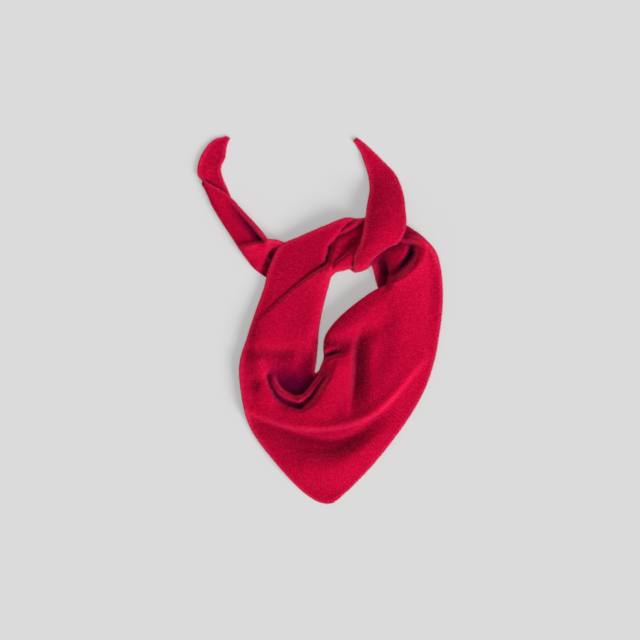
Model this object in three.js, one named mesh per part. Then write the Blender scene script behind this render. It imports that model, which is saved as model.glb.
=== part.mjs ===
import * as THREE from 'three';

// Knotted wool neckerchief, laid flat. Millimetres, +X to the right, +Y towards the tails, +Z up.
// The origin is on the table under the middle of the laid outline.

// Driving sizes
const laidWidth = 245;
const laidLength = 367;
const clothThickness = 2;
const layerGap = 0.8;
const borderWidth = 5;
const borderThickness = 2.5;
const rollRadius = 5;
const foldHeight = 10;
const foldReach = 50;
const settleHeight = 0.8;
const touchHeight = 0.05;

// Fineness of the faceted surface
const stepsPerSection = {
  leftTail: 2, knotCore: 1, bib: 3, leftBand: 2, knotFront: 2, knotBack: 2, rightTail: 2,
};
const stepsAcross = 19;
const narrowestReach = 6;
const stepsAlongFoldSpan = 8;
const normalSmoothing = 3;

const layerHeight = clothThickness + layerGap;

// The cloth is one long strip that runs from one tail tip round the knot to the other tail tip.
// Each row is a section across it. X places are shares of laidWidth, Y places of laidLength,
// levels are counts of layerHeight above the table and roll is a share of rollRadius.
const sectionColumns = [
  'neckX', 'neckY', 'neckLevel', 'foldX', 'foldY', 'foldLevel', 'outerX', 'outerY', 'outerLevel', 'roll',
];

const leftTail = [
  [-0.367, 0.493, 0.0, -0.374, 0.496, 0.0, -0.382, 0.498, 0.0, 0.6],
  [-0.380, 0.473, 0.1, -0.408, 0.480, 0.0, -0.437, 0.486, 0.3, 1.0],
  [-0.390, 0.448, 0.6, -0.439, 0.451, 0.0, -0.479, 0.450, 1.0, 1.6],
  [-0.398, 0.418, 0.7, -0.449, 0.417, 0.0, -0.497, 0.414, 1.2, 1.6],
  [-0.396, 0.384, 0.6, -0.474, 0.393, 0.1, -0.493, 0.388, 1.5, 1.2],
  [-0.378, 0.356, 0.3, -0.490, 0.375, 0.9, -0.449, 0.367, 2.0, 0.8],
  [-0.367, 0.337, 0.1, -0.476, 0.357, 0.9, -0.392, 0.346, 2.2, 0.8],
  [-0.363, 0.326, 0.0, -0.461, 0.335, 0.9, -0.353, 0.324, 2.2, 0.8],
  [-0.355, 0.307, 0.0, -0.437, 0.307, 1.0, -0.316, 0.297, 2.5, 0.8],
  [-0.327, 0.271, 0.0, -0.396, 0.260, 1.0, -0.278, 0.269, 3.2, 0.8],
  [-0.290, 0.238, 0.0, -0.359, 0.219, 1.0, -0.243, 0.243, 4.0, 0.8],
  [-0.257, 0.208, 0.0, -0.333, 0.192, 1.0, -0.212, 0.218, 4.0, 0.8],
  [-0.220, 0.178, 0.0, -0.302, 0.163, 0.9, -0.176, 0.215, 2.6, 0.8],
  [-0.192, 0.157, 0.0, -0.261, 0.131, 0.7, -0.139, 0.207, 1.5, 0.8],
];

const knotCore = [
  [-0.151, 0.140, 0.0, -0.188, 0.105, 0.5, -0.098, 0.196, 0.9, 0.8],
  [-0.069, 0.124, 0.0, -0.069, 0.113, 0.5, -0.033, 0.206, 0.6, 0.8],
  [0.008, 0.132, 0.2, 0.008, 0.140, 0.6, 0.024, 0.217, 0.8, 0.8],
  [0.073, 0.151, 0.9, 0.078, 0.173, 1.4, 0.086, 0.228, 1.2, 1.0],
  [0.131, 0.166, 1.7, 0.139, 0.200, 2.2, 0.151, 0.244, 1.8, 1.8],
  [0.180, 0.180, 2.0, 0.208, 0.206, 2.4, 0.233, 0.240, 2.0, 1.8],
  [0.204, 0.158, 2.0, 0.278, 0.189, 2.2, 0.326, 0.259, 2.0, 1.8],
];

const bib = [
  [0.216, 0.140, 1.8, 0.376, 0.207, 4.2, 0.378, 0.244, 1.8, 1.0],
  [0.224, 0.119, 1.5, 0.427, 0.191, 5.6, 0.424, 0.218, 2.2, 0.8],
  [0.233, 0.097, 1.3, 0.412, 0.158, 6.2, 0.469, 0.183, 2.2, 0.8],
  [0.245, 0.078, 1.2, 0.376, 0.134, 6.4, 0.488, 0.147, 2.2, 0.8],
  [0.278, 0.048, 0.8, 0.310, 0.105, 6.4, 0.497, 0.108, 2.0, 1.0],
  [0.237, 0.020, 0.4, 0.227, 0.076, 6.4, 0.500, 0.061, 1.6, 1.0],
  [0.151, -0.012, 0.2, 0.143, 0.037, 6.4, 0.496, 0.012, 1.2, 1.0],
  [0.094, -0.040, 0.1, 0.073, -0.004, 6.4, 0.486, -0.040, 0.8, 1.0],
  [0.065, -0.067, 0.1, 0.031, -0.041, 6.4, 0.467, -0.110, 0.5, 1.0],
  [0.057, -0.089, 0.1, 0.022, -0.071, 6.4, 0.422, -0.193, 0.3, 1.0],
  [0.049, -0.110, 0.1, 0.022, -0.102, 6.0, 0.345, -0.279, 0.1, 1.0],
  [0.024, -0.128, 0.1, 0.002, -0.128, 4.8, 0.224, -0.384, 0.1, 1.0],
  [-0.004, -0.142, 0.3, -0.010, -0.153, 3.0, 0.106, -0.470, 0.1, 1.0],
  [-0.018, -0.147, 0.4, -0.022, -0.163, 2.2, 0.031, -0.501, 0.1, 1.0],
  [-0.021, -0.142, 0.6, -0.047, -0.158, 1.8, -0.065, -0.466, 0.1, 1.0],
  [-0.020, -0.135, 0.7, -0.055, -0.143, 1.6, -0.200, -0.368, 0.4, 1.0],
  [-0.017, -0.123, 0.8, -0.053, -0.128, 1.6, -0.288, -0.285, 1.4, 1.0],
];

const leftBand = [
  [-0.013, -0.102, 1.0, -0.047, -0.104, 2.0, -0.321, -0.187, 2.6, 1.0],
  [-0.009, -0.067, 1.6, -0.041, -0.068, 3.2, -0.324, -0.116, 2.8, 1.0],
  [-0.002, -0.015, 2.2, -0.033, -0.018, 4.0, -0.292, -0.044, 2.6, 1.0],
  [0.016, 0.044, 2.6, -0.016, 0.040, 4.0, -0.258, 0.026, 2.2, 1.0],
  [0.033, 0.086, 3.0, 0.000, 0.083, 4.0, -0.229, 0.080, 1.9, 1.0],
  [0.042, 0.110, 3.4, 0.014, 0.117, 4.8, -0.204, 0.140, 2.1, 0.8],
  [0.051, 0.120, 3.4, 0.037, 0.136, 4.8, -0.161, 0.198, 2.4, 0.8],
];

const knotFront = [
  [0.069, 0.129, 3.4, 0.063, 0.144, 4.8, -0.082, 0.224, 3.2, 0.8],
  [0.102, 0.134, 3.6, 0.100, 0.149, 5.0, 0.020, 0.253, 4.1, 0.8],
  [0.139, 0.142, 3.8, 0.139, 0.157, 4.9, 0.102, 0.274, 4.3, 1.0],
  [0.200, 0.165, 4.0, 0.196, 0.178, 5.1, 0.151, 0.272, 4.4, 1.0],
  [0.265, 0.200, 4.2, 0.249, 0.217, 4.9, 0.188, 0.274, 3.7, 1.2],
];

const knotBack = [
  [0.269, 0.268, 2.6, 0.233, 0.279, 2.4, 0.180, 0.281, 2.0, 1.4],
  [0.265, 0.260, 0.3, 0.216, 0.259, 0.0, 0.151, 0.255, 0.0, 1.4],
  [0.253, 0.206, 0.0, 0.188, 0.204, 0.0, 0.110, 0.202, 0.0, 1.4],
  [0.229, 0.165, 0.1, 0.167, 0.157, 0.0, 0.106, 0.154, 0.0, 1.4],
  [0.196, 0.143, 2.2, 0.171, 0.131, 2.4, 0.139, 0.131, 2.2, 1.0],
  [0.212, 0.163, 5.4, 0.171, 0.146, 5.9, 0.139, 0.146, 5.6, 1.0],
];

const rightTail = [
  [0.271, 0.193, 6.2, 0.204, 0.192, 6.6, 0.143, 0.173, 5.7, 1.8],
  [0.318, 0.208, 6.4, 0.241, 0.219, 7.6, 0.167, 0.208, 5.6, 2.0],
  [0.347, 0.247, 6.4, 0.261, 0.255, 8.2, 0.181, 0.252, 5.7, 2.2],
  [0.345, 0.301, 4.8, 0.269, 0.301, 6.6, 0.196, 0.307, 4.6, 2.4],
  [0.336, 0.346, 2.6, 0.273, 0.345, 4.0, 0.207, 0.351, 2.8, 2.2],
  [0.308, 0.394, 0.8, 0.251, 0.388, 1.6, 0.204, 0.387, 1.3, 1.8],
  [0.257, 0.431, 0.1, 0.220, 0.425, 0.7, 0.184, 0.429, 1.1, 1.4],
  [0.192, 0.473, 0.0, 0.178, 0.467, 0.2, 0.164, 0.459, 0.3, 0.8],
  [0.152, 0.494, 0.0, 0.145, 0.491, 0.0, 0.138, 0.487, 0.0, 0.4],
];

const regions = { leftTail, knotCore, bib, leftBand, knotFront, knotBack, rightTail };

// Ridges and valleys pressed into the strip. Each follows a line through four places seen from above,
// as shares of laidWidth and laidLength. Rises are shares of foldHeight, and reaches to the left and right
// of the line are shares of foldReach. Fullness is how round the crest is, and wall is how far the fold
// also moves the turned-in neck side.
const foldColumns = [
  'name', 'from', 'to', 'x1', 'y1', 'x2', 'y2', 'x3', 'y3', 'x4', 'y4',
  'rise1', 'rise2', 'rise3', 'rise4', 'leftReach', 'rightReach', 'fullness', 'wall',
];

const tailFolds = [
  ['trough', 'leftTail', 'leftTail', -0.424, 0.345, -0.359, 0.296, -0.298, 0.257, -0.253, 0.228,
   0, -0.3, -0.7, -0.7, 0.12, 0.26, 1.4, 0],
  ['lip', 'leftTail', 'leftTail', -0.327, 0.198, -0.286, 0.199, -0.245, 0.206, -0.196, 0.211,
   0.2, 0.6, 0.6, 0.1, 0.08, 0.28, 0.9, 0],
  ['dent', 'leftTail', 'leftTail', -0.461, 0.407, -0.445, 0.399, -0.433, 0.391, -0.412, 0.377,
   0, -0.2, -0.2, 0, 0.14, 0.14, 2.0, 1],
  ['root', 'leftTail', 'knotCore', -0.237, 0.121, -0.212, 0.157, -0.200, 0.178, -0.188, 0.200,
   -0.2, -0.5, -0.4, -0.1, 0.12, 0.16, 2.0, 0],
];

const bandFolds = [
  ['pleat', 'leftBand', 'knotFront', -0.286, -0.015, -0.196, 0.037, -0.082, 0.102, 0.024, 0.146,
   0, 0.2, 0.3, 0.45, 0.07, 0.52, 0.9, 0],
  ['pleatCrease', 'leftBand', 'knotFront', -0.286, -0.009, -0.196, 0.043, -0.082, 0.108, 0.020, 0.152,
   0, -0.05, -0.1, -0.15, 0.14, 0.05, 0.9, 0],
  ['sideSwell', 'bib', 'leftBand', -0.229, 0.010, -0.249, -0.045, -0.253, -0.115, -0.233, -0.210,
   0.1, 0.35, 0.4, 0.3, 0.60, 0.26, 2.0, 0],
  ['sideValley', 'bib', 'leftBand', -0.314, -0.089, -0.237, -0.095, -0.155, -0.097, -0.082, -0.089,
   0, -0.25, -0.3, -0.1, 0.20, 0.24, 2.0, 0],
];

const knotFolds = [
  ['slot', 'leftBand', 'knotFront', -0.004, 0.138, 0.022, 0.151, 0.029, 0.170, 0.041, 0.198,
   -0.1, -0.5, -0.6, -0.3, 0.08, 0.06, 0.9, 0],
  ['groove', 'knotFront', 'knotFront', 0.035, 0.196, 0.069, 0.222, 0.122, 0.241, 0.178, 0.260,
   -0.4, -0.4, -0.35, -0.2, 0.06, 0.12, 0.9, 0],
  ['rib', 'knotFront', 'knotFront', 0.053, 0.212, 0.082, 0.234, 0.118, 0.253, 0.171, 0.272,
   0.1, 0.2, 0.2, 0.1, 0.06, 0.06, 1.4, 0],
  ['topGroove', 'knotFront', 'knotFront', 0.065, 0.226, 0.090, 0.243, 0.122, 0.260, 0.155, 0.277,
   -0.1, -0.3, -0.35, -0.2, 0.06, 0.07, 0.9, 0],
  ['lipGroove', 'knotFront', 'knotFront', 0.041, 0.132, 0.061, 0.153, 0.094, 0.172, 0.131, 0.189,
   -0.5, -0.4, -0.3, -0.1, 0.16, 0.07, 0.9, 0],
  ['frontHollow', 'knotFront', 'knotFront', 0.073, 0.184, 0.098, 0.196, 0.131, 0.210, 0.171, 0.232,
   -0.2, -0.3, -0.3, -0.1, 0.24, 0.24, 2.0, 0],
  ['lipCrease', 'knotFront', 'rightTail', 0.139, 0.184, 0.143, 0.170, 0.143, 0.157, 0.139, 0.140,
   0, -0.3, -0.3, 0, 0.06, 0.06, 0.9, 0],
];

const bibFolds = [
  ['cowlCrest', 'bib', 'leftBand', -0.278, -0.226, -0.143, -0.253, -0.016, -0.226, 0.069, -0.132,
   0.1, 1.0, 1.5, 0.7, 0.16, 0.50, 1.7, 0],
  ['cowlEdge', 'bib', 'leftBand', -0.298, -0.238, -0.061, -0.287, 0.196, -0.257, 0.408, -0.113,
   0.1, 0.1, 0.8, 0.4, 0.56, 0.14, 1.3, 0],
  ['cowlLip', 'bib', 'leftBand', -0.306, -0.250, -0.061, -0.297, 0.204, -0.264, 0.424, -0.114,
   0.15, 0.35, 0.40, 0.1, 0.26, 0.06, 0.9, 0],
  ['flapValley', 'bib', 'leftBand', -0.237, -0.294, -0.061, -0.316, 0.102, -0.319, 0.286, -0.248,
   -0.1, -0.35, -0.35, -0.1, 0.10, 0.30, 2.0, 0],
  ['flapCrest', 'bib', 'leftBand', -0.212, -0.354, -0.061, -0.398, 0.098, -0.390, 0.286, -0.286,
   0.2, 0.7, 0.6, 0.2, 0.42, 0.56, 2.0, 0],
  ['bibSwell', 'bib', 'bib', 0.327, 0.094, 0.335, -0.015, 0.306, -0.116, 0.245, -0.192,
   0.2, 0.35, 0.4, 0.2, 0.70, 0.40, 2.0, 0],
  ['hollow', 'bib', 'leftBand', -0.188, -0.141, -0.122, -0.178, -0.082, -0.178, -0.020, -0.136,
   -0.4, -1.0, -1.1, -0.5, 0.46, 0.14, 1.6, 0],
  ['heartRim', 'bib', 'leftBand', -0.204, -0.143, -0.122, -0.200, -0.078, -0.200, 0.008, -0.138,
   0.2, 0.6, 0.6, 0.3, 0.10, 0.08, 1.5, 0],
  ['heartGroove', 'bib', 'leftBand', -0.237, -0.143, -0.131, -0.229, -0.065, -0.229, 0.033, -0.143,
   -0.6, -0.9, -1.0, -0.3, 0.09, 0.08, 0.9, 0],
  ['sideDent', 'bib', 'leftBand', -0.286, -0.149, -0.269, -0.176, -0.253, -0.192, -0.229, -0.206,
   0, -0.3, -0.3, 0, 0.14, 0.14, 2.0, 0],
  ['centreValley', 'bib', 'bib', 0.167, -0.038, 0.143, -0.087, 0.135, -0.165, 0.122, -0.245,
   -0.3, -0.9, -0.9, -0.2, 0.30, 0.34, 1.6, 0],
  ['shoulderValley', 'bib', 'bib', 0.053, -0.048, 0.143, -0.042, 0.220, -0.026, 0.290, 0.010,
   -0.1, -0.2, -0.2, -0.05, 0.24, 0.26, 2.0, 0],
  ['tuck', 'bib', 'bib', 0.008, -0.095, 0.041, -0.094, 0.082, -0.089, 0.122, -0.080,
   -0.7, -1.0, -0.8, 0, 0.10, 0.07, 0.9, 0],
  ['neckRoll', 'bib', 'bib', 0.233, 0.080, 0.143, 0.037, 0.061, -0.010, 0.020, -0.061,
   -0.5, -0.5, -0.5, -0.3, 0.28, 0.12, 0.9, 1],
  ['stripValley', 'knotCore', 'bib', 0.249, 0.189, 0.265, 0.157, 0.276, 0.127, 0.273, 0.097,
   -0.1, -0.7, -0.8, -0.3, 0.26, 0.20, 1.6, 1],
  ['pocket', 'knotCore', 'bib', 0.327, 0.207, 0.359, 0.183, 0.361, 0.158, 0.335, 0.128,
   -0.4, -1.6, -1.4, -0.2, 0.12, 0.12, 0.9, 1],
  ['outerRidge', 'knotCore', 'bib', 0.327, 0.217, 0.396, 0.211, 0.449, 0.189, 0.473, 0.149,
   0.2, 0.4, 0.4, 0.1, 0.12, 0.10, 0.9, 0],
  ['edgeValley', 'bib', 'bib', 0.429, 0.176, 0.457, 0.122, 0.465, 0.053, 0.457, -0.042,
   -0.2, -0.35, -0.35, 0, 0.12, 0.20, 2.0, 0],
];

const knitMaterial = new THREE.MeshStandardMaterial({ color: 0xb8082f, roughness: 0.95, metalness: 0 });

// Turns a table's rows into objects with the columns' names
function named(columns, rows) {
  return rows.map((row) => Object.fromEntries(columns.map((column, index) => [column, row[index]])));
}

function place(x, y, level) {
  return new THREE.Vector3(x * laidWidth, y * laidLength, clothThickness / 2 + level * layerHeight);
}

function toSection(row) {
  return {
    neck: place(row.neckX, row.neckY, row.neckLevel),
    fold: place(row.foldX, row.foldY, row.foldLevel),
    outer: place(row.outerX, row.outerY, row.outerLevel),
    roll: row.roll * rollRadius,
  };
}

// Smooth curve through evenly numbered values, a quarter of the way to the next ones at each knot
function throughFour(before, start, end, after, t) {
  const bend = 2 * before - 5 * start + 4 * end - after;
  const turn = -before + 3 * start - 3 * end + after;
  return start + (t * (end - before + t * (bend + t * turn))) / 2;
}

function vectorThroughFour(points, t) {
  const [a, b, c, d] = points;
  return new THREE.Vector3(
    throughFour(a.x, b.x, c.x, d.x, t),
    throughFour(a.y, b.y, c.y, d.y, t),
    throughFour(a.z, b.z, c.z, d.z, t),
  );
}

// The values either side of a place in a list, with straight run-outs past its ends
function fourAround(list, index) {
  const end = list.length - 1;
  const first = list[0].clone().add(list[0]).sub(list[1]);
  const last = list[end].clone().add(list[end]).sub(list[end - 1]);
  const at = (i) => (i < 0 ? first : i > end ? last : list[i]);
  return [at(index - 1), at(index), at(index + 1), at(index + 2)];
}

function pointAlong(points, position) {
  const span = Math.min(Math.floor(position), points.length - 2);
  return vectorThroughFour(fourAround(points, span), position - span);
}

function smoothLine(points, stepsPerSpan) {
  const count = (points.length - 1) * stepsPerSpan;
  return Array.from({ length: count + 1 }, (_, index) => pointAlong(points, index / stepsPerSpan));
}

// Places between section numbers at which the strip is cut across
function sectionPositions() {
  const positions = [];
  for (const [name, rows] of Object.entries(regions)) {
    const steps = stepsPerSection[name];
    const first = regionSpans()[name].first;
    for (let step = 0; step < rows.length * steps; step += 1) {
      positions.push(first + step / steps);
    }
  }
  const last = regionSpans().rightTail.last;
  return positions.filter((position) => position <= last);
}

// Sections of the whole strip, filled in between the table's rows
function stripSections() {
  const sections = Object.values(regions).flatMap((rows) => named(sectionColumns, rows).map(toSection));
  const rail = (name) => sections.map((section) => section[name]);
  const rolls = sections.map((section) => new THREE.Vector3(section.roll, 0, 0));
  return sectionPositions().map((number) => ({
    number,
    neck: pointAlong(rail('neck'), number),
    fold: pointAlong(rail('fold'), number),
    outer: pointAlong(rail('outer'), number),
    roll: pointAlong(rolls, number).x,
  }));
}

// First and last section numbers of each region
function regionSpans() {
  const spans = {};
  let start = 0;
  for (const [name, rows] of Object.entries(regions)) {
    spans[name] = { first: start, last: start + rows.length - 1 };
    start += rows.length;
  }
  return spans;
}

// Share of the way across at which each column of the surface lies, with one narrow column as the
// border at either edge
function shareAcross(column, length) {
  const widestBorder = 0.12;
  const border = Math.min(borderWidth / length, widestBorder);
  const inner = (column - 1) / (stepsAcross - 2);
  if (column === 0) return 0;
  if (column === stepsAcross) return 1;
  return border + inner * (1 - 2 * border);
}

// How far each of two layers moves from the other beside a fold where the cloth turns back on itself
function partingAt(inward, outward) {
  const flatInward = new THREE.Vector2(inward.x, inward.y).normalize();
  const flatOutward = new THREE.Vector2(outward.x, outward.y).normalize();
  const shareOfLayer = 0.7;
  return Math.max(0, -flatInward.dot(flatOutward)) * shareOfLayer * layerHeight;
}

// Two straight runs, neck edge to fold and fold to outer edge, joined by a rolled bend
function acrossSection(section) {
  const inward = section.fold.clone().sub(section.neck);
  const outward = section.outer.clone().sub(section.fold);
  const length = inward.length() + outward.length();
  const smallestShare = 0.06;
  const foldShare = THREE.MathUtils.clamp(inward.length() / length, smallestShare, 1 - smallestShare);
  const bend = Math.min(section.roll / length, foldShare, 1 - foldShare);
  const parting = partingAt(inward, outward);
  inward.divideScalar(foldShare);
  outward.divideScalar(1 - foldShare);
  const points = [];
  for (let column = 0; column <= stepsAcross; column += 1) {
    const share = shareAcross(column, length);
    const past = share - foldShare;
    const point = section.fold.clone();
    if (Math.abs(past) >= bend) {
      point.addScaledVector(past < 0 ? inward : outward, past);
    } else {
      point.addScaledVector(inward, past / 2 - (past * past + bend * bend) / (4 * bend));
      point.addScaledVector(outward, past / 2 + (past * past + bend * bend) / (4 * bend));
    }
    point.z += Math.sign(past) * parting * THREE.MathUtils.smoothstep(Math.abs(past), 0, bend);
    points.push({ point, wall: THREE.MathUtils.smoothstep(share, 0, foldShare) });
  }
  return points;
}

function toFold(row) {
  const corners = Object.keys(row).filter((column) => column.startsWith('rise')).map((column) => {
    const corner = column.replace('rise', '');
    const rise = row[column] * foldHeight;
    return new THREE.Vector3(row[`x${corner}`] * laidWidth, row[`y${corner}`] * laidLength, rise);
  });
  const spans = regionSpans();
  return {
    line: smoothLine(corners, stepsAlongFoldSpan),
    rises: corners.map((corner) => corner.z),
    leftReach: Math.max(row.leftReach * foldReach, narrowestReach),
    rightReach: Math.max(row.rightReach * foldReach, narrowestReach),
    fullness: row.fullness,
    wall: row.wall,
    first: spans[row.from].first,
    last: spans[row.to].last,
  };
}

// How much of a fold reaches a section: all of it inside its regions, fading over one section beyond
function foldShareAt(fold, number) {
  const before = THREE.MathUtils.clamp(number - fold.first + 1, 0, 1);
  const after = THREE.MathUtils.clamp(fold.last + 1 - number, 0, 1);
  return before * after;
}

function riseAlong(rises, along) {
  const span = Math.min(Math.floor(along), rises.length - 2);
  return THREE.MathUtils.lerp(rises[span], rises[span + 1], along - span);
}

// A crest that flattens towards the end of its reach, crisp or round at the top by its fullness
function crestShape(distance, reach, fullness) {
  const share = distance / reach;
  return share >= 1 ? 0 : (1 - share) ** 2 * (1 + fullness * share);
}

function foldRise(fold, point) {
  let nearest = Infinity;
  let side = 0;
  let along = 0;
  for (let index = 0; index < fold.line.length - 1; index += 1) {
    const start = fold.line[index];
    const stepX = fold.line[index + 1].x - start.x;
    const stepY = fold.line[index + 1].y - start.y;
    const offX = point.x - start.x;
    const offY = point.y - start.y;
    const share = (offX * stepX + offY * stepY) / (stepX * stepX + stepY * stepY);
    const held = THREE.MathUtils.clamp(share, 0, 1);
    const distance = Math.hypot(offX - held * stepX, offY - held * stepY);
    if (distance < nearest) {
      nearest = distance;
      side = (stepX * offY - stepY * offX) / Math.hypot(stepX, stepY);
      along = (index + held) / stepsAlongFoldSpan;
    }
  }
  const leftShare = (1 + side / Math.max(nearest, Number.EPSILON)) / 2;
  const reach = THREE.MathUtils.lerp(fold.rightReach, fold.leftReach, THREE.MathUtils.clamp(leftShare, 0, 1));
  return riseAlong(fold.rises, along) * crestShape(nearest, reach, fold.fullness);
}

// Lays the cloth flat where it meets the table, with a soft lift-off above that
function settled(height) {
  const above = height - clothThickness / 2;
  if (above <= 0) return clothThickness / 2;
  if (above >= 2 * settleHeight) return height - settleHeight;
  return clothThickness / 2 + above ** 2 / (4 * settleHeight);
}

// Middle surface of the cloth, a grid of points by section and column
function middleSurface() {
  const folds = named(foldColumns, [...tailFolds, ...bandFolds, ...knotFolds, ...bibFolds]).map(toFold);
  return stripSections().map((section) => {
    const near = folds.filter((fold) => foldShareAt(fold, section.number) > 0);
    return acrossSection(section).map(({ point, wall }) => {
      const rises = near.map((fold) => foldRise(fold, point) * foldShareAt(fold, section.number)
        * THREE.MathUtils.lerp(wall, 1, fold.wall));
      const rise = rises.reduce((sum, one) => sum + one, 0);
      return new THREE.Vector3(point.x, point.y, settled(point.z + rise));
    });
  });
}

function surfaceNormals(grid) {
  const lastRow = grid.length - 1;
  return grid.map((row, i) => row.map((point, j) => {
    const along = grid[Math.min(i + 1, lastRow)][j].clone().sub(grid[Math.max(i - 1, 0)][j]);
    const across = row[Math.min(j + 1, stepsAcross)].clone().sub(row[Math.max(j - 1, 0)]);
    return along.cross(across).normalize();
  }));
}

// Blends each normal with its neighbours so that tight bends keep their thickness
function blended(normals) {
  const lastRow = normals.length - 1;
  return normals.map((row, i) => row.map((normal, j) => {
    const sum = normal.clone();
    sum.add(normals[Math.max(i - 1, 0)][j]).add(normals[Math.min(i + 1, lastRow)][j]);
    sum.add(row[Math.max(j - 1, 0)]).add(row[Math.min(j + 1, stepsAcross)]);
    return sum.normalize();
  }));
}

function thicknessAt(column) {
  return column === 0 || column === stepsAcross ? borderThickness : clothThickness;
}

// One face of the cloth, half the thickness away from the middle surface
function faceOfCloth(grid, normals, side) {
  return grid.map((row, i) => row.map((point, j) => {
    const moved = point.clone().addScaledVector(normals[i][j], (side * thicknessAt(j)) / 2);
    moved.z = moved.z < touchHeight ? 0 : moved.z;
    return moved;
  }));
}

// Splits a four-sided facet along its shorter diagonal, which keeps fold lines unbroken
function splitFacet(grid, i, j, corners) {
  const [a, b, c, d] = corners;
  const alongCrease = grid[i][j].distanceTo(grid[i + 1][j + 1]) <= grid[i + 1][j].distanceTo(grid[i][j + 1]);
  return alongCrease ? [a, b, c, a, c, d] : [a, b, d, b, c, d];
}

// Closes two faces of the cloth into one solid with a rim round the whole edge
function closedCloth(grid, upper, lower) {
  const rows = grid.length;
  const columns = stepsAcross + 1;
  const positions = [...upper.flat(), ...lower.flat()].flatMap((point) => [point.x, point.y, point.z]);
  const up = (i, j) => i * columns + j;
  const down = (i, j) => rows * columns + i * columns + j;
  const indices = [];
  for (let i = 0; i < rows - 1; i += 1) {
    for (let j = 0; j < stepsAcross; j += 1) {
      indices.push(...splitFacet(grid, i, j, [up(i, j), up(i + 1, j), up(i + 1, j + 1), up(i, j + 1)]));
      const under = [down(i, j), down(i + 1, j), down(i + 1, j + 1), down(i, j + 1)];
      indices.push(...splitFacet(grid, i, j, under).reverse());
    }
  }
  const edge = [];
  for (let i = 0; i < rows; i += 1) edge.push([i, 0]);
  for (let j = 1; j < columns; j += 1) edge.push([rows - 1, j]);
  for (let i = rows - 2; i >= 0; i -= 1) edge.push([i, columns - 1]);
  for (let j = columns - 2; j >= 1; j -= 1) edge.push([0, j]);
  edge.forEach(([i, j], index) => {
    const [nextI, nextJ] = edge[(index + 1) % edge.length];
    indices.push(up(i, j), down(i, j), down(nextI, nextJ), up(i, j), down(nextI, nextJ), up(nextI, nextJ));
  });
  const geometry = new THREE.BufferGeometry();
  geometry.setAttribute('position', new THREE.Float32BufferAttribute(positions, 3));
  geometry.setIndex(indices);
  geometry.computeBoundingBox();
  const middle = geometry.boundingBox.getCenter(new THREE.Vector3());
  geometry.translate(-middle.x, -middle.y, 0);
  geometry.computeVertexNormals();
  return geometry;
}

function makeKerchief() {
  const grid = middleSurface();
  let normals = surfaceNormals(grid);
  for (let pass = 0; pass < normalSmoothing; pass += 1) {
    normals = blended(normals);
  }
  const geometry = closedCloth(grid, faceOfCloth(grid, normals, 1), faceOfCloth(grid, normals, -1));
  const mesh = new THREE.Mesh(geometry, knitMaterial);
  mesh.name = 'kerchief_cloth';
  return mesh;
}

const neckerchief = new THREE.Group();
neckerchief.add(makeKerchief());

export default neckerchief;
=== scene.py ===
import math
from collections import namedtuple

import bpy
import numpy as np
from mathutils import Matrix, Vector


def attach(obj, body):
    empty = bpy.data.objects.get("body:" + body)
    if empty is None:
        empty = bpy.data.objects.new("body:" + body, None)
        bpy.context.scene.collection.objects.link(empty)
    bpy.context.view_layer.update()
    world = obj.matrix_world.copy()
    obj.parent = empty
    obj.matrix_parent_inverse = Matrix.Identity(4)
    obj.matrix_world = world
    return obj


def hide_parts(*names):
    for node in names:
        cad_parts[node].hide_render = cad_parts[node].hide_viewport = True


# Knotted wool neckerchief laid flat on a pale surface, in metres, seen from straight above.

# Sizes
LAID_WIDTH = 0.245
LAID_LENGTH = 0.367
CLOTH_THICKNESS = 0.002
LAYER_GAP = 0.0008
LAYER_HEIGHT = CLOTH_THICKNESS + LAYER_GAP
ROLL_RADIUS = 0.005
FOLD_HEIGHT = 0.010
FOLD_REACH = 0.050
SETTLE_HEIGHT = 0.0008
PARTING_SHARE = 0.7

# Fineness of the surface
STEPS_PER_SECTION = {
    "leftTail": 6,
    "knotCore": 2,
    "bib": 12,
    "leftBand": 12,
    "knotFront": 12,
    "knotBack": 4,
    "rightTail": 8,
}
STEPS_ACROSS = 86
STEPS_ALONG_FOLD_SPAN = 10
NORMAL_SMOOTHING = 6

# Lengths, cross products and faces smaller than these count as this small, so nothing is divided by nought
SMALLEST_LENGTH = 1e-9
SMALLEST_CROSS = 1e-12
SMALLEST_FACE = 1e-15

# Distances in from a cut edge at which the surface has columns of its own, for the rounded border
EDGE_COLUMNS = (0.0, 0.0003, 0.0008, 0.0016, 0.0028, 0.0038, 0.0046, 0.0053, 0.0062)
WIDEST_EDGE_SHARE = 0.3
SMALLEST_FOLD_SHARE = 0.06

# The border swells up to a fine groove beside it, and its cut edge is rounded off
BORDER_WIDTH = 0.0046
BORDER_SWELL = 0.12
BORDER_LEVEL_SHARE = 0.8
GROOVE_DEPTH = 0.05
GROOVE_WIDTH = 0.0009
GROOVE_PLACE = 1.12
EDGE_ROUNDING = 0.0011
EDGE_THINNEST = 0.02

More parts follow.
